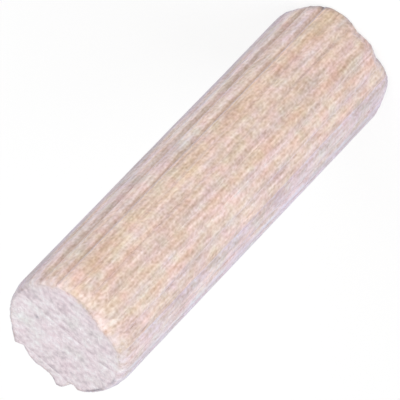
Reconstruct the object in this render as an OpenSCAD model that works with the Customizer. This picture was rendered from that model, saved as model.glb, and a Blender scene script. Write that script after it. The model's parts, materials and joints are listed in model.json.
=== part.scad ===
// Fluted wooden dowel pin, standing on one end.
// The origin is the centre of the lower end face and +Z runs along the pin.

/* [Pin] */
// Diameter over the crests, the size of the hole that the pin is driven into
pin_d = 10; // [6:0.5:16]
// Length from end face to end face
pin_l = 35; // [20:1:80]

/* [Flutes] */
// Number of straight flutes, evenly spaced round the pin
flute_count = 24; // [12:1:28]
// Depth of each flute below the crests
flute_depth = 0.2; // [0.15:0.05:0.4]
// Width of each flute where it leaves the crests, its two lips included
flute_w = 0.32; // [0.3:0.02:0.5]
// Radius of the rounded bottom of each flute
root_r = 0.05; // [0.04:0.01:0.06]
// Radius of the lip between a flute's flank and the crest beside it
lip_r = 0.06; // [0.04:0.01:0.08]

/* [Ends] */
// Length of the chamfer at each end, measured along the pin
chamfer_l = 1.2; // [0.5:0.1:2]
// How much the chamfer takes off the radius at each end face
chamfer_in = 0.45; // [0.2:0.05:0.8]

/* [Hidden] */

// Facets of the large and the small circles in a preview
large_fn = 240;
small_fn = 24;

beech = [0.87, 0.77, 0.70];

pin_r = pin_d / 2;
end_face_r = pin_r - chamfer_in;
flute_pitch = 360 / flute_count;

// How far the cutter of a flute reaches past the crests
cut_past = 1;

// How far a lip or root circle stands past the line or circle that it blends into,
// so that the two cross cleanly where an exact touch would leave slivers
graze = 0.0005;

// The point at a distance from the pin's axis, turned clockwise from +Y
function polar(angle, distance) = [distance * sin(angle), distance * cos(angle)];

// The same point on the other side of the flute's middle line
function across(point) = [-point.x, point.y];

// One flute across the grain: a V with a rounded bottom and rounded lips.
// Each flank is the straight line that grazes both the lip circle and the root circle.
module flute_section() {
    lip_distance = pin_r - lip_r + graze;
    lip_crossing = pin_r * pin_r + lip_distance * lip_distance - lip_r * lip_r;
    lip_reach = acos(lip_crossing / (2 * pin_r * lip_distance));
    lip_angle = asin(flute_w / 2 / pin_r) + lip_reach;
    lip_centre = polar(lip_angle, lip_distance);
    root_centre = [0, pin_r - flute_depth + root_r];
    span = root_centre - lip_centre;
    flank_turn = acos((lip_r + root_r - 2 * graze) / norm(span));
    flank_normal_angle = atan2(span.y, span.x) - flank_turn;
    flank_normal = [cos(flank_normal_angle), sin(flank_normal_angle)];
    flank_top = lip_centre + (lip_r - graze) * flank_normal;
    flank_foot = root_centre - (root_r - graze) * flank_normal;
    mouth = polar(lip_angle, pin_r + cut_past);

    difference() {
        polygon([
            mouth, lip_centre, flank_top, flank_foot, root_centre,
            across(flank_foot), across(flank_top), across(lip_centre), across(mouth),
        ]);
        for (centre = [lip_centre, across(lip_centre)])
            translate(centre)
                circle(r = lip_r, $fn = small_fn);
    }
    translate(root_centre)
        circle(r = root_r, $fn = small_fn);
}

// The pin across the grain: crests on one circle, with a flute between each two.
// The first crest is centred on +Y, so the flutes start half a pitch away from it.
module fluted_section() {
    difference() {
        circle(r = pin_r, $fn = large_fn);
        for (i = [0 : flute_count - 1])
            rotate((i + 0.5) * flute_pitch)
                flute_section();
    }
}

// The plain pin with both ends chamfered, which the fluted rod is trimmed to
module chamfered_blank() {
    rotate_extrude($fn = large_fn)
        polygon([
            [0, 0],
            [end_face_r, 0],
            [pin_r, chamfer_l],
            [pin_r, pin_l - chamfer_l],
            [end_face_r, pin_l],
            [0, pin_l],
        ]);
}

module dowel_pin() {
    color(beech)
        intersection() {
            linear_extrude(pin_l)
                fluted_section();
            chamfered_blank();
        }
}

dowel_pin();
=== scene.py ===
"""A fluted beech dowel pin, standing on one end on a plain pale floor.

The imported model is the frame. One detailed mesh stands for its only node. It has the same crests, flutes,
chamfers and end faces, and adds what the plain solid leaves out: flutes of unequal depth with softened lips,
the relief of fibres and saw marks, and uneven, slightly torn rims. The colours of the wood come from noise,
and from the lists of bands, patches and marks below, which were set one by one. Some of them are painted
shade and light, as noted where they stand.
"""

import json
import math
from collections import namedtuple

import bpy
import numpy as np
from mathutils import Matrix, Vector


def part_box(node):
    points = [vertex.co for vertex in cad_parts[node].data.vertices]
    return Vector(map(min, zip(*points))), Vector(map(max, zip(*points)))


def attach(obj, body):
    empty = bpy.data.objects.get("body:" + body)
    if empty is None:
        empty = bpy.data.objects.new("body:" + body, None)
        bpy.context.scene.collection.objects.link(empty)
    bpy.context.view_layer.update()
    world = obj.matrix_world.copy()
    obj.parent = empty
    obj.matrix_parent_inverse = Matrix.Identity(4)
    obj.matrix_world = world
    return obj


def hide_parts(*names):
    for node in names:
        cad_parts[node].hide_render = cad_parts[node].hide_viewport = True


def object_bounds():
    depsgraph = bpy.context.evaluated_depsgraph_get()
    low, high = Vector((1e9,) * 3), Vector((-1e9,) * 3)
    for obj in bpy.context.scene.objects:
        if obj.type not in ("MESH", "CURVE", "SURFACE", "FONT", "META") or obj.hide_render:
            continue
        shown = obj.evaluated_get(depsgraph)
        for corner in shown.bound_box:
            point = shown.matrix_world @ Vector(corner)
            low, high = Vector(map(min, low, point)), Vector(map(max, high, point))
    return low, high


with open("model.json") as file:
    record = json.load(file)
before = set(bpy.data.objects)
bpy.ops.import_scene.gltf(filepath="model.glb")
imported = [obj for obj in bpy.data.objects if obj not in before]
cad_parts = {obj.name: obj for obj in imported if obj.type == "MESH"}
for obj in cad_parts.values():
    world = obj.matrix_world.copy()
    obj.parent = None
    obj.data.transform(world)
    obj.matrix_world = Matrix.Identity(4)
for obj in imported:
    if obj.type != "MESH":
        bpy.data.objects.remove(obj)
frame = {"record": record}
cad_low, cad_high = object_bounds()

MM = 0.001
NODE = "dowel_pin"
SEED = 35
rng = np.random.default_rng(SEED)

# The pin, in mm
box_low, box_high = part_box(NODE)
LENGTH = (box_high.z - box_low.z) / MM
CREST_R = (box_high.x - box_low.x) / 2 / MM
BARREL_L = next(m["dims"]["length_mm"] for m in frame["record"]["mounts"] if m["name"] == "barrel")
CHAMFER_L = (LENGTH - BARREL_L) / 2
CHAMFER_IN = 0.45
FACE_R = CREST_R - CHAMFER_IN
FLUTES = 24
FLUTE_DEPTH = 0.2

# How the side is divided
COLUMNS = FLUTES * 30
END_ZONE = 2.4  # length at each end where the rows are close together, in mm
END_ROWS = 18
MIDDLE_ROWS = 74

# The rings of an end face from its rim inwards. Each has its share of the face's radius, the step between
# the columns that have a point in it, and how far the colour of the side reaches in there on the front.
# The side's colour that reaches in on the front is a painted highlight.
RIM_RINGS = [(0.988, 1, 0.6), (0.970, 2, 0.45), (0.942, 4, 0.2)]
WIDE_RINGS = [(share, 4, 0) for share in np.linspace(0.91, 0.10, 26)]
CORE_RINGS = [(0.06, 8, 0), (0.03, 16, 0)]

# The section of a flute, in mm
LIP_WIDTH = 0.12  # half width of its V
LIP_POWER = 1.5  # above 1 the root of the V is rounded
SHOULDER_DEPTH = 0.05  # how far the crests round over towards it
SHOULDER_WIDTH = 0.36  # half width of that rounding

# How the flutes differ from one another
FLUTE_SHARES = (0.45, 0.7)  # least and greatest depth, as shares of FLUTE_DEPTH
WIDTH_SPREAD = 0.15  # as a share of their width
PLACE_SPREAD = 0.04  # in mm
WANDER = 0.02  # how far they swing from side to side along the pin, in mm
WAVES = (3, 9)  # least and greatest turn of that swing from end to end, in radians
WAVE_STARTS = (0, 6)  # least and greatest turn that it starts with, in radians

# The two deepest flutes, counted from +X
DEEP_FLUTES = (20, 21)
DEEP_SHARE = 0.9  # their depth, as a share of FLUTE_DEPTH
DEEP_WIDENING = 1.4  # how much wider they are

# Relief of the side: the height of each kind of lump, and its size along and across the grain, in mm
SIDE_RELIEF = [(0.006, 0.9, 0.045), (0.008, 4, 0.1), (0.012, 6, 0.5)]
SKIN = 0.035  # how far the mean surface lies below the solid's crests, and the most that relief lifts it

# The chamfers, in mm
BARREL_BLEND = 0.05  # how far they round over into the barrel
EDGE_ROUND = 0.2  # how far they round over into the end faces
FULL_CUT = 0.15  # how much they take off where the wood has its full cut colour

# The rims, in mm
RIM_ROUGHNESS = 0.015  # spread of their fine unevenness
RIM_GRAIN = 3  # blur of that unevenness, in columns
RIM_ROWS = 8  # rows of noise that are drawn for a rim, which uses the first
RIM_MARGIN = 0.03  # how far inside the crests they stay

# Relief of the sawn end faces
SAWN_CELLS = 128  # cells of its noise across the pin
SAWN_STEP = 0.008  # height of one spread of the noise, in mm
SAWN_REACH = 1.5  # how many spreads it reaches to either side
SAWN_BLURS = (1, 4)  # blur of its fine and of its broad lumps, in cells
SAWN_BROAD = 0.8  # weight of the broad ones
CENTRE_DEPTH = 0.01  # how far the middle point lies inside the pin's end, in mm

# Clearance between the pin and the floor, in metres
FLOOR_GAP = 0.02 * MM

# The front of the pin, in degrees: its middle from +X, and how far it reaches to either side
FRONT = -92
FRONT_HALF = 100

# One end of the pin.
#   height, inwards: where its face lies in mm, and the sign of the way into the pin from there
#   rim: how wear and tearing change the radius of the face: angle in degrees from +X, change in mm
#   bruise_width: width of the line of painted shade round the face, in mm
#   bruises: where that painted shade shows: angle and half width in degrees, darkness
#   sawn_share: how far the chamfer has the colour of the end grain away from the front. On the front it keeps
#       the side's colour, which is a painted highlight.
#   marks: marks on the face: place and half width in mm, then how much lighter, pinker and dirtier
#       the wood is there
End = namedtuple("End", "height inwards rim bruise_width bruises sawn_share marks")

BOTTOM = End(
    height=0.0,
    inwards=1,
    rim=[
        (3, 0.40), (15, 0.30), (40, 0), (80, -0.12), (100, 0.10), (140, -0.10), (182, -0.28),
        (196, 0), (217, 0.25), (226, 0.12), (233, -0.12), (238, -0.36), (244, -0.25), (252, -0.06),
        (262, -0.19), (269, -0.24), (276, 0.04), (282, 0.26), (287, 0.34), (298, 0.44), (305, 0.36),
        (314, 0.28), (330, 0.06), (342, 0.04), (352, 0.27),
    ],
    bruise_width=0.55,
    bruises=[(-54, 30, 1.8), (-79, 10, 1.2), (-125, 32, 1.75), (-158, 26, 1.8), (15, 60, 0.4)],
    sawn_share=0.3,
    marks=[],
)
TOP = End(
    height=LENGTH,
    inwards=-1,
    rim=[
        (4, 0.20), (20, 0.11), (40, 0.07), (48, 0.22), (58, 0.38), (62, -0.22), (68, -0.26),
        (73, -0.12), (84, -0.16), (91, -0.34), (99, -0.33), (106, 0.07), (109, 0.40), (113, 0.40),
        (118, 0.0), (122, -0.38), (127, -0.38), (131, 0.02), (165, 0.02), (180, 0.10), (205, 0.15),
        (220, 0.15), (230, -0.08), (239, -0.35), (247, -0.50), (255, -0.42), (265, -0.30), (272, -0.18),
        (280, 0.05), (290, 0.18), (315, 0.24), (335, 0.24),
    ],
    bruise_width=0.11,
    bruises=[
        (180, 12, 1.2), (158, 13, 1.8), (147, 14, 1.1), (138, 20, 0.3), (108, 12, 1.4), (75, 40, 0.5),
        (45, 30, 0.5), (-8, 25, 0.7),
    ],
    sawn_share=0.75,
    marks=[
        (0.2, -1.8, 1.0, -0.4, -1.6, 0),
        (2.9, 1.4, 1.3, -0.5, -1.2, 0),
        (-1.2, 2.2, 1.6, 0.4, 0.9, 0),
        (2.7, -2.9, 0.9, -0.3, 0.6, 0),
        (1.9, -4.1, 1.3, 1.6, 2.2, 0),
        (-0.6, -3.6, 1.9, -1.9, 0.2, 0),
        (2.47, 0.27, 0.28, 0, 0, 2.2),
        (-3.55, 1.7, 0.7, 4.0, 0, 0),
    ],
)
ENDS = (BOTTOM, TOP)

# Patches on the side: angle from +X and half width in degrees, height and half height in mm, then how much
# paler, lighter and pinker the wood is there
SIDE_PATCHES = [
    (-59, 16, LENGTH, 1.1, 1.0, 1.3, 0),
    (-62, 17, LENGTH - 1.3, 2.4, 0, 3.2, 1.4),
    (-102, 30, LENGTH - 2, 1.2, 0, -1.2, 0),
    (-92, 32, LENGTH - 0.9, 0.7, 0, -1.1, 0),
    (-108, 16, LENGTH, 0.7, 1.1, 2.0, 0),
    (-128, 10, LENGTH, 0.6, 0.6, 2.0, 0.5),
    (-127, 14, LENGTH - 1.2, 2.0, 0, -2.2, 0),
    (-96, 34, 0, 3.2, 0, -1.8, 0),
    (-68, 9, 4, 5.5, 0, -1.9, 0.9),
    (-78, 8, 2, 4.5, 0, -2.0, 0),
    (-105, 9, 4.5, 5.5, 0, -2.2, 0),
    (-115, 8, 3, 4.5, 0, -2.5, 0.4),
    (-90, 26, 6.8, 3.5, 0, -1.8, 0),
    (-99, 7, LENGTH - 3.4, 2.2, 0, 1.6, 0),
    (-108, 6, 26.5, 5, 0, 1.2, 0),
    (-54, 22, 0, 1.1, 0, -4.0, 0),
    (-108, 6, 0.4, 0.6, 0, -3.5, 0),
]

# Bands along the side: angle from +X and half width in degrees, then how much lighter, warmer and pinker the
# wood is there than its mean. Bands that overlap add up. Most are the wood's layers, but some are painted
# light: those from -29 to -57 lighten and darken the wood round the flutes there as painted shade, and those
# at 2, -14, -163, -169 and -176 are painted shade and a painted cool sheen along the side's outline. The rows
# go
# round the pin: those from 2 to -176 follow what the photo shows, and those from 172 to 8 are on the hidden
# side.
BANDS = [
    (2, 40, 0.0, -1.9, 0.0),
    (-14, 11, -1.8, 0.0, 0.0),
    (-29, 7, 2.5, -0.3, 0.1),
    (-35, 3, -2.6, -0.9, 0.0),
    (-41, 3, 0.9, 0.0, 0.0),
    (-49, 4, 1.4, -0.5, 0.0),
    (-52, 3, -2.4, 0.2, 0.0),
    (-57, 2, 0.6, 1.0, 0.0),
    (-63, 8, -1.1, 1.0, -0.3),
    (-65, 3, -1.3, 0.1, -0.2),
    (-70, 3, 0.0, 1.1, 0.0),
    (-73, 3, 0.9, 0.5, 0.0),
    (-77, 4, 0.3, -0.3, 0.1),
    (-82, 5, -1.0, 0.0, -0.2),
    (-87, 3, -0.6, 0.3, -0.2),
    (-94, 5, -2.2, -0.5, 0.5),
    (-98, 3, 2.0, 0.1, -0.1),
    (-102, 5, -1.8, 0.5, 0.5),
    (-109, 3, -0.3, -0.6, 0.5),
    (-113, 3, 2.9, -0.3, -0.4),
    (-117, 3, -0.7, 0.4, 0.2),
    (-121, 3, 0.6, 0.0, 0.2),
    (-124, 3, -0.4, -0.6, 0.2),
    (-128, 4, 1.4, -0.7, 0.3),
    (-138, 4, -1.6, -0.2, 0.3),
    (-142, 3, 3.4, -0.8, 0.6),
    (-145, 7, -0.3, -1.0, 0.3),
    (-150, 4, 1.2, -0.2, 0.4),
    (-163, 4, 3.0, 0.0, 0.0),
    (-169, 4, -3.0, 0.0, 0.0),
    (-176, 42, 2.0, -2.1, 0.6),
    (172, 4, 1.0, 0.2, 0.0),
    (151, 3, -1.2, 0.0, 0.2),
    (140, 6, 0.6, 0.2, 0.0),
    (123, 3, -1.0, 0.3, 0.0),
    (108, 5, 1.2, -0.2, 0.1),
    (92, 3, -1.4, 0.4, 0.0),
    (75, 6, 0.8, 0.2, 0.1),
    (57, 3, -1.2, 0.3, -0.1),
    (29, 4, 1.0, 0.3, 0.0),
    (8, 3, -1.2, 0.2, 0.0),
]

# Lines on the end faces, in degrees from +X
LAYER_ANGLE = 2
SAW_ANGLES = (17, 42)  # the saw marks turn from the first to the second
SAW_TURN = (-1, 1.5)  # between these two places along Y, in mm

# Growth layers, in mm
LAYER_PITCH = 4.2
LAYER_START = -0.7  # how far from the axis one of their dark lines runs
LAYER_WOBBLE = 0.06
DARK_FADE = (0.1, 0.55)  # where a dark line begins and ends to fade, counted from its sharp edge
PALE_RISE = (0.7, 0.2)  # where the paler wood before that edge begins and is full
PALE_SHARE = 0.6  # how pale it is, as a share of the line's darkness

# Noise in the wood: size of its lumps across and along the pin in mm, seed, detail and weight
FIBRE_NOISE = [
    (3.0, 2.5, 19, 0, 0.5),
    (0.34, 16, 1, 2, 0.75),
    (0.25, 3.0, 2, 1, 1.1),
    (0.21, 0.9, 3, 1, 1.35),
    (0.20, 0.24, 12, 0, 1.2),
]
CAST_NOISE = [(1.0, 7, 4, 1, 0.6), (1.3, 1.8, 18, 1, 0.6)]
BLUSH_NOISE = [(1.0, 1.1, 7, 1, 1.0), (1.4, 3.5, 22, 0, 0.35)]
PATCH_NOISE = [(0.45, 0.8, 17, 1, 0.35)]
# The next noise breaks up the painted shade along the rims and the dirt of the face's marks.
DIRT_AND_RIM_SHADE_NOISE = [(0.5, 0.5, 13, 1, 0.12)]
BUMP_NOISE = [(0.10, 1.5, 6, 2, 0.5)]
LAYER_NOISE = [(1.6, 1.6, 14, 1, LAYER_WOBBLE / LAYER_PITCH)]
LINE_NOISE = [(0.8, 0.8, 15, 1, 0.08)]
BORDER_NOISE = [(0.35, 0.35, 23, 0, 1.0)]
END_NOISE = [(0.33, 0.33, 5, 0, 0.08), (1.5, 1.5, 10, 1, 0.06)]
END_CAST_NOISE = [(1.1, 1.1, 11, 2, 1.0)]

# Noise in lines on the end faces: size of its lumps across and along the lines in mm, seed and detail
SAW_NOISE = (0.42, 1.4, 9, 1)
STRIPE_NOISE = (0.7, 8, 21, 0)

# Blender's noise has mean 0.5 and a spread of about an eighth, so this makes its spread 1
NOISE_GAIN = 8.0

# The place of plain wood on its ramp, and how far one unit of each value moves the wood along its ramp
PLAIN = 0.5
END_PLAIN = 0.52
FIBRE_GAIN = 0.053
LIGHT_GAIN = 0.05
CAST_GAIN = 0.13
BLUSH_GAIN = 0.26
END_CAST_GAIN = 0.14
SAW_GAIN = 0.084
STRIPE_GAIN = 0.035

# Other strengths in the wood
WARM_SHARE = 2.0  # cast of one unit of warmth
WARM_AGAINST_PINK = -0.1  # blush of one unit of cast
FIBRE_BUMP = 0.5  # height of one unit of the fibre pattern in the bump
FLUTE_DARKNESS = 0.3  # share of the painted shade colour at the flutes' roots
FLUTE_POWER = 3.0  # how steeply that share falls towards the lips
PATCH_STRENGTH = 0.5
# The next strength is for the painted shade along the rims and the dirt of the face's marks.
DIRT_AND_RIM_SHADE_STRENGTH = 0.4
LINE_STRENGTH = 0.15
BORDER_PUSH = 0.2  # the most that the noise at the border of the end grain pushes it outwards

# Colours as they look on screen, 0 to 255. A list is a ramp: places from 0 to 1 and the colours there.
# Casts and blushes are tints, which multiply a tone.
SIDE_TONES = [
    (0.0, (180, 151, 132)),
    (0.25, (206, 180, 163)),
    (0.5, (231, 208, 196)),
    (0.75, (253, 234, 226)),
    (1.0, (255, 252, 247)),
]
SIDE_CASTS = [(0.0, (225, 237, 254)), (0.5, (247, 247, 247)), (1.0, (251, 238, 219))]
SIDE_BLUSHES = [(0.0, (249, 255, 247)), (1.0, (255, 245, 250))]
END_TONES = [(0.0, (182, 170, 174)), (0.5, (233, 221, 223)), (1.0, (255, 255, 255))]
END_CASTS = [(0.0, (243, 254, 248)), (0.5, (253, 252, 254)), (1.0, (255, 244, 250))]
# The next colour is painted shade at the roots of the flutes.
FLUTE_SHADE_COLOUR = (188, 164, 148)
PALE_COLOUR = (250, 234, 231)
# The next colour is the painted shade along the rims, and also the dirt of the face's marks.
DIRT_AND_RIM_SHADE_COLOUR = (126, 120, 130)

# The studio
FLOOR_HALF = 6.0  # half width of the floor, in metres
FLOOR_COLOUR = (0.9, 0.9, 0.9, 1)
WHITE = (1, 1, 1, 1)
GLOW = 1.06  # strength of the glow that whitens the floor for the camera
GLOW_SHARE = 0.75  # and its share of what the camera sees
ROOM_LIGHT = 0.56  # strength of the light from all round

# Lamps: name, place and size in metres, the place from the pin's middle, and power in watts
LAMPS = [
    ("key", (-0.55, -0.55, 0.6), 0.7, 5.1),
    ("fill", (0.6, -0.5, 0.5), 0.7, 2.5),
]

# The camera
CAMERA_TURNS = (-2.5, 38.5, 136.2)  # azimuth, where 0 looks along +Y, elevation and roll, in degrees
DISTANCE = 0.65  # from the pin's middle, in metres
AIM = (-0.06 * MM, -0.19 * MM)  # where it aims, to the right of that middle and above it in the frame
LENS = 826  # focal length, in mm
SENSOR = 36  # width of the film, in mm
CLIP = (0.01, 20)  # nearest and farthest that it sees, in metres


def smooth_noise(shape, spread):
    """Noise of mean 0 and spread 1 that repeats at the edges, blurred by spread cells along each axis."""
    spectrum = np.fft.fft2(rng.standard_normal(shape))
    for axis, cells in enumerate(spread):
        falloff = np.exp(-2 * (math.pi * np.fft.fftfreq(shape[axis]) * cells) ** 2)
        spectrum = spectrum * np.expand_dims(falloff, 1 - axis)
    field = np.fft.ifft2(spectrum).real
    return (field - field.mean()) / field.std()


def side_noise(heights, along, across):
    """Noise on the side, blurred along and across the grain by the given lengths in mm."""
    even_rows = 256
    cell_across = 2 * math.pi * CREST_R / COLUMNS
    field = smooth_noise((even_rows, COLUMNS), (along / LENGTH * even_rows, across / cell_across))
    place = heights / LENGTH * (even_rows - 1)
    below = np.minimum(place.astype(int), even_rows - 2)
    share = (place - below)[:, None]
    return field[below] * (1 - share) + field[below + 1] * share


def turn_from(angles, centre):
    """The signed turn in radians from centre to each angle."""
    return (angles - centre + math.pi) % (2 * math.pi) - math.pi


def lump(distance, half_width):
    """1 at distance 0, falling smoothly to 0 at half_width."""
    return np.cos(np.clip(np.abs(distance) / half_width, 0, 1) * math.pi / 2) ** 2


def smaller(a, b, blend):
    """The smaller of a and b, rounded over where they meet."""
    h = np.clip(0.5 + (b - a) / (2 * blend), 0, 1)
    return b + (a - b) * h - blend * h * (1 - h)


def row_heights():
    """Heights of the side's rows, close together at both ends."""
    end = END_ZONE * np.linspace(0, 1, END_ROWS) ** 2
    middle = np.linspace(END_ZONE, LENGTH - END_ZONE, MIDDLE_ROWS + 2)[1:-1]
    return np.concatenate([end, middle, (LENGTH - end)[::-1]])


def flute_depths(angles, heights):
    """How far the surface lies below the crests: a soft V at each flute, with rounded crests beside it."""
    pitch = 2 * math.pi / FLUTES
    depth = np.zeros((len(heights), len(angles)))
    for i in range(FLUTES):
        deep = i in DEEP_FLUTES
        strength = DEEP_SHARE if deep else rng.uniform(*FLUTE_SHARES)
        width = LIP_WIDTH * (DEEP_WIDENING if deep else 1) * (1 + WIDTH_SPREAD * rng.standard_normal())
        shift = PLACE_SPREAD * rng.standard_normal()
        wander = WANDER * np.sin(heights / LENGTH * rng.uniform(*WAVES) + rng.uniform(*WAVE_STARTS))
        across = CREST_R * turn_from(angles, (i + 0.5) * pitch)
        distance = np.abs(across[None, :] - shift - wander[:, None])
        valley = strength * FLUTE_DEPTH * np.exp(-((distance / width) ** LIP_POWER))
        shoulder = SHOULDER_DEPTH * np.exp(-((distance / SHOULDER_WIDTH) ** 2))
        depth = np.maximum(depth, valley + shoulder)
    return depth


def rim_radii(angles, end):
    """The radius of an end face all round, with its wear."""
    at, change = zip(*end.rim)
    fine = RIM_ROUGHNESS * smooth_noise((RIM_ROWS, COLUMNS), (0, RIM_GRAIN))[0]
    worn = FACE_R + fine + np.interp(np.degrees(angles), at, change, period=360)
    return np.minimum(worn, CREST_R - RIM_MARGIN)


def cone_radii(rim, from_end):
    """The radius that a chamfer allows at each distance from its end face, less what its edge rounds off."""
    slope = (CREST_R - rim) / CHAMFER_L
    inside = np.clip(1 - from_end / EDGE_ROUND, 0, 1)
    eased = EDGE_ROUND * (1 - np.sqrt(1 - inside ** 2))
    return rim[None, :] + slope[None, :] * from_end[:, None] - eased[:, None]


def side_surface(angles, heights):
    """Radii of the side, and how deep each point lies in a flute and how far it is cut, from 0 to 1."""
    depth = flute_depths(angles, heights)
    relief = sum(height * side_noise(heights, along, across) for height, along, across in SIDE_RELIEF)
    relief = np.minimum(relief, SKIN)
    barrel = CREST_R - SKIN - depth + relief
    bottom = cone_radii(rim_radii(angles, BOTTOM), heights)
    top = cone_radii(rim_radii(angles, TOP), LENGTH - heights)
    radii = smaller(barrel, bottom + relief, BARREL_BLEND)
    radii = smaller(radii, top + relief, BARREL_BLEND)
    return radii, np.clip(depth / FLUTE_DEPTH, 0, 1), np.clip((barrel - radii) / FULL_CUT, 0, 1)


def frontness(angles):
    """1 in the middle of the front, falling smoothly to 0 behind."""
    return lump(turn_from(angles, math.radians(FRONT)), math.radians(FRONT_HALF))


def band_values(angles, column):
    """The sum of the bands' lightness (column 2), warmth (3) or pinkness (4) at each angle."""
    total = np.zeros(len(angles))
    for band in BANDS:
        total += band[column] * lump(turn_from(angles, math.radians(band[0])), math.radians(band[1]))
    return total


def patch_values(angles, height):
    """How much paler, lighter and pinker the patches make each angle at one height."""
    total = np.zeros((3, len(angles)))
    for angle, half_width, middle, half_height, *strengths in SIDE_PATCHES:
        across = lump(turn_from(angles, math.radians(angle)), math.radians(half_width))
        total += np.outer(strengths, across * lump(height - middle, half_height))
    return total


def relief_map():
    """A function that gives how far each point of an end face lies inside the pin's end, in mm."""
    shape = (SAWN_CELLS, SAWN_CELLS)
    fine, broad = (smooth_noise(shape, (blur, blur)) for blur in SAWN_BLURS)
    field = fine + SAWN_BROAD * broad

    def depth(x, y):
        place = (np.stack([x, y]) / (2 * CREST_R) + 0.5) * (SAWN_CELLS - 1)
        column, row = np.clip(place.round().astype(int), 0, SAWN_CELLS - 1)
        return SAWN_STEP * np.clip(SAWN_REACH + field[row, column], 0, 2 * SAWN_REACH)

    return depth


# What each point of the mesh tells the material
POINT_VALUES = (
    "flute",  # how deep it lies in a flute, as a share of FLUTE_DEPTH
    "end",  # 1 on end grain and 0 on the side
    "edge",  # how dark it is: painted shade along parts of the rims, and dirt at the face's marks
    "pale",  # how much of the pale colour it has
    "light",  # how much lighter the wood is than plain wood, with painted shade and light at some flutes and at the outline
    "warm",  # how much warmer, with a painted cool sheen at the outline
    "pink",  # how much pinker
)


class Builder:
    """Collects the points, faces and point values of one mesh."""

    def __init__(self):
        self.points = []
        self.faces = []
        self.count = 0
        self.values = {name: [] for name in POINT_VALUES}

    def ring(self, x, y, z, **values):
        """Adds one ring of points and returns their numbers."""
        self.points.append(np.stack([x, y, np.broadcast_to(z, x.shape)], axis=1))
        for name, stored in self.values.items():
            stored.append(np.broadcast_to(values.get(name, 0.0), x.shape))
        self.count += len(x)
        return np.arange(self.count - len(x), self.count)

    def add(self, corners, flip=False):
        """Adds one face for each row of point numbers, turned over if flip is true."""
        self.faces += np.stack(corners[::-1] if flip else corners, axis=1).tolist()

    def bridge(self, lower, upper):
        """Quads from one ring up to the next, which has as many points."""
        self.add((lower, np.roll(lower, -1), np.roll(upper, -1), upper))

    def halve(self, outer, inner, flip):
        """Triangles from a ring in to one with half as many points."""
        start, middle, end = outer[0::2], outer[1::2], np.roll(outer[0::2], -1)
        near, far = inner, np.roll(inner, -1)
        for corners in ((start, middle, near), (middle, far, near), (middle, end, far)):
            self.add(corners, flip)

    def close(self, ring, centre, flip):
        """Triangles from a ring in to one point."""
        self.add((ring, np.roll(ring, -1), np.full(len(ring), centre)), flip)

    def mesh(self, name):
        """The collected mesh as Blender's data, in metres."""
        data = bpy.data.meshes.new(name)
        data.from_pydata((np.concatenate(self.points) * MM).tolist(), [], self.faces)
        for value_name, stored in self.values.items():
            attribute = data.attributes.new(value_name, "FLOAT", "POINT")
            attribute.data.foreach_set("value", np.concatenate(stored).astype(np.float32))
        data.polygons.foreach_set("use_smooth", np.ones(len(data.polygons), dtype=bool))
        data.update()
        return data


def rim_shade_darkness(angles, end):
    """How dark the line of painted shade round an end face is at each angle."""
    total = np.zeros(len(angles))
    for angle, half_width, dark in end.bruises:
        total += dark * lump(turn_from(angles, math.radians(angle)), math.radians(half_width))
    return total


def rim_shade_share(from_rim, width):
    """1 at the rim of an end face, falling evenly to 0 where its line of painted shade ends."""
    return np.clip(1 - from_rim / width, 0, 1)


def mark_values(x, y, marks):
    """How light, pink and dirty the marks make each point of an end face."""
    total = np.zeros((3, len(x)))
    for mark_x, mark_y, half_width, *strengths in marks:
        total += np.outer(strengths, lump(np.hypot(x - mark_x, y - mark_y), half_width))
    return total


def join_rings(builder, outer, inner, flip):
    """Faces between two rings of an end face, where the inner one has as many points or half as many."""
    if len(inner) < len(outer):
        builder.halve(outer, inner, flip)
    elif flip:
        builder.bridge(inner, outer)
    else:
        builder.bridge(outer, inner)


def add_face(builder, outer, rim, angles, front, end):
    """An end face from its rim, the ring outer with the radii rim, to its centre.

    The rings lose the unevenness of the rim on their way in. On the front the outermost ones keep some of the
    colour of the side, a painted highlight, so that the end grain doesn't begin on a hard line.
    """
    flip = end.inwards > 0
    relief = relief_map()
    darkness = rim_shade_darkness(angles, end)
    for share, step, blend in RIM_RINGS + WIDE_RINGS + CORE_RINGS:
        radii = share * (rim[::step] * share + FACE_R * (1 - share))
        x, y = radii * np.cos(angles[::step]), radii * np.sin(angles[::step])
        light, pink, dirty = mark_values(x, y, end.marks)
        darkening = darkness[::step] * rim_shade_share((1 - share) * FACE_R, end.bruise_width)
        inner = builder.ring(
            x, y, end.height + end.inwards * relief(x, y),
            end=1 - blend * front[::step], edge=dirty + darkening, light=light, pink=pink,
        )
        join_rings(builder, outer, inner, flip)
        outer = inner
    centre = builder.ring(np.zeros(1), np.zeros(1), end.height + end.inwards * CENTRE_DEPTH, end=1.0)[0]
    builder.close(outer, centre, flip)


def add_side(builder, angles, front):
    """The side with both chamfers. Returns the radii and point numbers of its lowest and its highest ring."""
    heights = row_heights()
    radii, flute, cut = side_surface(angles, heights)
    light, warm, pink = (band_values(angles, column) for column in (2, 3, 4))
    darkness = [rim_shade_darkness(angles, end) for end in ENDS]
    rings = []
    for row, height in enumerate(heights):
        half = int(height > LENGTH / 2)  # 0 in the lower half and 1 in the upper one, as in ENDS
        from_end = min(height, LENGTH - height)
        pale, lighter, pinker = patch_values(angles, height)
        # On the front the chamfers keep the side's colour instead of the end grain's: a painted highlight.
        rings.append(builder.ring(
            radii[row] * np.cos(angles), radii[row] * np.sin(angles), height,
            flute=flute[row],
            pale=pale,
            end=cut[row] * (1 - front) * ENDS[half].sawn_share,
            edge=rim_shade_share(from_end, ENDS[half].bruise_width) * darkness[half],
            light=light + lighter,
            warm=warm,
            pink=pink + pinker,
        ))
    for lower, upper in zip(rings, rings[1:]):
        builder.bridge(lower, upper)
    return (radii[0], rings[0]), (radii[-1], rings[-1])


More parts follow.
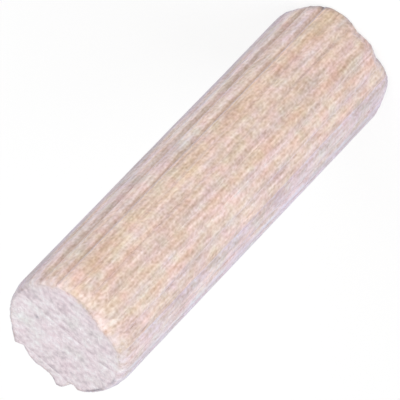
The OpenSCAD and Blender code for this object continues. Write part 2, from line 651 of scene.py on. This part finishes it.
def build_pin():
    """The whole pin as one closed mesh."""
    angles = np.arange(COLUMNS) / COLUMNS * 2 * math.pi
    front = frontness(angles)
    builder = Builder()
    for end, (rim, ring) in zip(ENDS, add_side(builder, angles, front)):
        add_face(builder, ring, rim, angles, front, end)
    pin = bpy.data.objects.new("dowel_pin_wood", builder.mesh("dowel_pin_wood"))
    bpy.context.scene.collection.objects.link(pin)
    return pin


def linear(red, green, blue):
    """A colour given as it looks on screen, 0 to 255, as Blender's linear values."""
    return tuple(
        (c / 255 / 12.92 if c <= 10 else ((c / 255 + 0.055) / 1.055) ** 2.4) for c in (red, green, blue)
    ) + (1.0,)


class Graph:
    """The nodes of a material or world. An input is a constant or the output of another node."""

    def __init__(self, owner):
        owner.use_nodes = True
        self.owner = owner
        self.tree = owner.node_tree
        self.tree.nodes.clear()

    def node(self, kind, inputs=None, **settings):
        """Adds a node. inputs go by name or number, and settings are its other properties."""
        made = self.tree.nodes.new(kind)
        for name, value in settings.items():
            setattr(made, name, value)
        for key, value in (inputs or {}).items():
            if isinstance(value, bpy.types.NodeSocket):
                self.tree.links.new(value, made.inputs[key])
            else:
                made.inputs[key].default_value = value
        return made

    def math(self, operation, *values):
        return self.node("ShaderNodeMath", dict(enumerate(values)), operation=operation).outputs[0]

    def scaled(self, value, gain, start):
        """value times gain, plus start."""
        return self.math("MULTIPLY_ADD", value, gain, start)

    def fade(self, value, start, stop, low, high):
        """Goes evenly from low to high as value goes from start to stop, and stays there."""
        inputs = {"Value": value, "From Min": start, "From Max": stop, "To Min": low, "To Max": high}
        return self.node("ShaderNodeMapRange", inputs).outputs[0]

    def place(self):
        """Object coordinates, in metres."""
        return self.node("ShaderNodeTexCoord").outputs["Object"]

    def turned(self, angle):
        """Object coordinates in axes turned by an angle in degrees."""
        inputs = {"Vector": self.place(), "Rotation": (0, 0, -math.radians(angle))}
        return self.node("ShaderNodeMapping", inputs).outputs[0]

    def noise_in(self, place, cell, seed, detail):
        """Noise of mean 0 and spread 1, with lumps as large as a cell in mm.

        Where a side of the cell is 0, the noise doesn't change along that axis.
        """
        scale = tuple(1 / (side * MM) if side else 0 for side in cell)
        cells = self.node("ShaderNodeMapping", {"Vector": place, "Scale": scale}).outputs[0]
        inputs = {"Vector": cells, "W": seed, "Scale": 1.0, "Detail": detail}
        value = self.node("ShaderNodeTexNoise", inputs, noise_dimensions="4D").outputs[0]
        return self.scaled(value, NOISE_GAIN, -NOISE_GAIN / 2)

    def noise_along(self, angle, across, along, seed, detail):
        """Noise in lines across an end face, which run at an angle from +X. Sizes are in mm."""
        return self.noise_in(self.turned(angle), (along, across, 0), seed, detail)

    def layered(self, layers, start):
        """Noise added to start, one layer after another. A layer has the form of a row of FIBRE_NOISE."""
        total = start
        for across, along, seed, detail, weight in layers:
            noise = self.noise_in(self.place(), (across, across, along), seed, detail)
            total = self.scaled(noise, weight, total)
        return total

    def mix(self, factor, first, second, blend="MIX"):
        inputs = {0: factor, 6: first, 7: second}
        return self.node("ShaderNodeMix", inputs, data_type="RGBA", blend_type=blend).outputs[2]

    def ramp(self, value, stops):
        made = self.node("ShaderNodeValToRGB", {"Fac": value})
        points = made.color_ramp.elements
        while len(points) < len(stops):
            points.new(0.5)
        for point, (position, colour) in zip(points, stops):
            point.position = position
            point.color = linear(*colour)
        return made.outputs[0]

    def tinted(self, colour, value, gain, stops):
        """colour times the tint of a ramp, whose middle is for a value of 0."""
        return self.mix(1.0, colour, self.ramp(self.scaled(value, gain, PLAIN), stops), "MULTIPLY")

    def value(self, name):
        return self.node("ShaderNodeAttribute", attribute_name=name).outputs["Fac"]

    def seen_directly(self):
        """1 for rays from the camera and those that gloss and glass pass on, and 0 for scattered light."""
        path = self.node("ShaderNodeLightPath").outputs
        passed_on = self.math("MAXIMUM", path["Is Glossy Ray"], path["Is Transmission Ray"])
        return self.math("MAXIMUM", path["Is Camera Ray"], passed_on)


def wood_material():
    """Pale beech, streaked and flecked along the side, with greyer end grain."""
    graph = Graph(bpy.data.materials.new("beech_wood"))
    side, fibre = side_colour(graph)
    colour = graph.mix(end_share(graph), side, end_colour(graph))
    # The wood darkens towards one colour along parts of the rims, which is painted shade, and at the dirt of
    # the face's marks.
    darkening = graph.math("MULTIPLY", graph.value("edge"), graph.layered(DIRT_AND_RIM_SHADE_NOISE, DIRT_AND_RIM_SHADE_STRENGTH))
    colour = graph.mix(darkening, colour, linear(*DIRT_AND_RIM_SHADE_COLOUR))
    height = graph.layered(BUMP_NOISE, graph.math("MULTIPLY", fibre, FIBRE_BUMP))
    bump = graph.node("ShaderNodeBump", {"Strength": 0.35, "Distance": 0.03 * MM, "Height": height})
    shader = graph.node("ShaderNodeBsdfPrincipled", {
        "Base Color": colour,
        "Roughness": graph.scaled(fibre, 0.03, 0.78),
        "Normal": bump.outputs[0],
        "Specular IOR Level": 0.3,
        "Sheen Weight": 0.8,
        "Sheen Roughness": 0.42,
        "Sheen Tint": (0.8, 0.8, 1, 1),
    })
    graph.node("ShaderNodeOutputMaterial", {"Surface": shader.outputs[0]})
    return graph.owner


def end_share(graph):
    """1 on end grain and 0 on the side. Between the two the border is ragged."""
    end = graph.value("end")
    border = graph.math("MULTIPLY", end, graph.math("SUBTRACT", 1.0, end))
    push = graph.math("MINIMUM", graph.layered(BORDER_NOISE, 0.0), BORDER_PUSH)
    return graph.scaled(border, push, end)


def side_colour(graph):
    """Colour of the side, and its fibre pattern for the bump."""
    fibre = graph.layered(FIBRE_NOISE, 0.0)
    light = graph.scaled(graph.value("light"), LIGHT_GAIN, PLAIN)
    side = graph.ramp(graph.scaled(fibre, FIBRE_GAIN, light), SIDE_TONES)
    cast = graph.layered(CAST_NOISE, graph.math("MULTIPLY", graph.value("warm"), WARM_SHARE))
    side = graph.tinted(side, cast, CAST_GAIN, SIDE_CASTS)
    blush = graph.layered(BLUSH_NOISE, graph.value("pink"))
    blush = graph.scaled(cast, WARM_AGAINST_PINK, blush)
    side = graph.tinted(side, blush, BLUSH_GAIN, SIDE_BLUSHES)
    # Painted shade: the wood darkens and greys towards the roots of the flutes.
    flute = graph.math("POWER", graph.value("flute"), FLUTE_POWER)
    side = graph.mix(graph.math("MULTIPLY", flute, FLUTE_DARKNESS), side, linear(*FLUTE_SHADE_COLOUR))
    pale = graph.math("MULTIPLY", graph.value("pale"), graph.layered(PATCH_NOISE, PATCH_STRENGTH))
    return graph.mix(pale, side, linear(*PALE_COLOUR)), fibre


def growth_line(graph):
    """1 in the dark line where a growth layer closes, below 0 in the pale wood before it, and 0 elsewhere."""
    across = graph.node("ShaderNodeSeparateXYZ", {0: graph.turned(LAYER_ANGLE)}).outputs["Y"]
    count = graph.scaled(across, -1 / (LAYER_PITCH * MM), LAYER_START / LAYER_PITCH)
    share = graph.math("FRACT", graph.layered(LAYER_NOISE, count))
    dark_from, dark_to = (place / LAYER_PITCH for place in DARK_FADE)
    pale_from, pale_to = (1 - place / LAYER_PITCH for place in PALE_RISE)
    dark = graph.fade(share, dark_from, dark_to, 1.0, 0.0)
    pale = graph.fade(share, pale_from, pale_to, 0.0, PALE_SHARE)
    return graph.math("SUBTRACT", dark, pale)


def saw_marks(graph):
    """Saw marks across an end face, which turn from the first of SAW_ANGLES to the second."""
    first, second = (graph.noise_along(angle, *SAW_NOISE) for angle in SAW_ANGLES)
    along_y = graph.node("ShaderNodeSeparateXYZ", {0: graph.place()}).outputs["Y"]
    turn_from_y, turn_to_y = (place * MM for place in SAW_TURN)
    turn = graph.fade(along_y, turn_from_y, turn_to_y, 0.0, 1.0)
    return graph.scaled(graph.math("SUBTRACT", second, first), turn, first)


def end_colour(graph):
    """Colour of the sawn end grain: fine grain with saw marks across it, and the growth lines."""
    tone = graph.layered(END_NOISE, graph.scaled(saw_marks(graph), SAW_GAIN, END_PLAIN))
    tone = graph.scaled(graph.noise_along(LAYER_ANGLE, *STRIPE_NOISE), STRIPE_GAIN, tone)
    tone = graph.scaled(graph.value("light"), LIGHT_GAIN, tone)
    line = graph.math("MULTIPLY", growth_line(graph), graph.layered(LINE_NOISE, LINE_STRENGTH))
    colour = graph.ramp(graph.math("SUBTRACT", tone, line), END_TONES)
    cast = graph.layered(END_CAST_NOISE, graph.value("pink"))
    return graph.tinted(colour, cast, END_CAST_GAIN, END_CASTS)


def floor_material():
    """A plain pale floor, which the camera sees as white apart from the pin's soft shadow."""
    graph = Graph(bpy.data.materials.new("pale_floor"))
    plain = graph.node("ShaderNodeBsdfDiffuse", {"Color": FLOOR_COLOUR}).outputs[0]
    glow = graph.node("ShaderNodeEmission", {"Color": WHITE, "Strength": GLOW}).outputs[0]
    seen = graph.node("ShaderNodeMixShader", {0: GLOW_SHARE, 1: plain, 2: glow}).outputs[0]
    shown = graph.node("ShaderNodeMixShader", {0: graph.seen_directly(), 1: plain, 2: seen}).outputs[0]
    graph.node("ShaderNodeOutputMaterial", {"Surface": shown})
    return graph.owner


def build_floor():
    """A wide plain floor, a hair below the pin so that the two never share a plane."""
    half = FLOOR_HALF
    corners = [(-half, -half, 0), (half, -half, 0), (half, half, 0), (-half, half, 0)]
    data = bpy.data.meshes.new("floor")
    data.from_pydata(corners, [], [(0, 1, 2, 3)])
    data.materials.append(floor_material())
    floor = bpy.data.objects.new("floor", data)
    floor.location.z = cad_low.z - FLOOR_GAP
    bpy.context.scene.collection.objects.link(floor)


def build_world():
    """Even white light from all round. The camera sees it as plain white."""
    graph = Graph(bpy.data.worlds.new("studio"))
    strength = graph.fade(graph.seen_directly(), 0.0, 1.0, ROOM_LIGHT, 1.0)
    background = graph.node("ShaderNodeBackground", {"Color": WHITE, "Strength": strength})
    graph.node("ShaderNodeOutputWorld", {"Surface": background.outputs[0]})
    bpy.context.scene.world = graph.owner


def add_lamp(name, place, size, power):
    """A square soft lamp that faces the pin. place is in metres from its middle."""
    data = bpy.data.lights.new(name, "AREA")
    data.shape, data.size, data.energy = "SQUARE", size, power
    lamp = bpy.data.objects.new(name, data)
    centre = (cad_low + cad_high) / 2
    lamp.location = centre + Vector(place)
    lamp.rotation_mode = "QUATERNION"
    lamp.rotation_quaternion = Vector(place).to_track_quat("Z", "Y")
    bpy.context.scene.collection.objects.link(lamp)


def build_camera():
    """A long lens that looks down on the upper end, turned so that this end is at the frame's lower left."""
    azimuth, elevation, roll = (math.radians(degrees) for degrees in CAMERA_TURNS)
    back = Vector((
        math.sin(azimuth) * math.cos(elevation),
        -math.cos(azimuth) * math.cos(elevation),
        math.sin(elevation),
    ))
    level = Vector((math.cos(azimuth), math.sin(azimuth), 0))
    upward = back.cross(level)
    right = level * math.cos(roll) - upward * math.sin(roll)
    up = upward * math.cos(roll) + level * math.sin(roll)
    data = bpy.data.cameras.new("camera")
    data.lens = LENS
    data.sensor_width = SENSOR
    data.clip_start, data.clip_end = CLIP
    camera = bpy.data.objects.new("camera", data)
    centre = (cad_low + cad_high) / 2
    camera.location = centre + right * AIM[0] + up * AIM[1] + back * DISTANCE
    camera.rotation_mode = "QUATERNION"
    camera.rotation_quaternion = Matrix((right, up, back)).transposed().to_quaternion()
    bpy.context.scene.collection.objects.link(camera)
    bpy.context.scene.camera = camera


build_floor()
build_world()
for lamp in LAMPS:
    add_lamp(*lamp)
build_camera()

pin = build_pin()
pin.data.materials.append(wood_material())
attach(pin, "root")
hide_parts(NODE)

bpy.context.scene.view_settings.view_transform = "Standard"
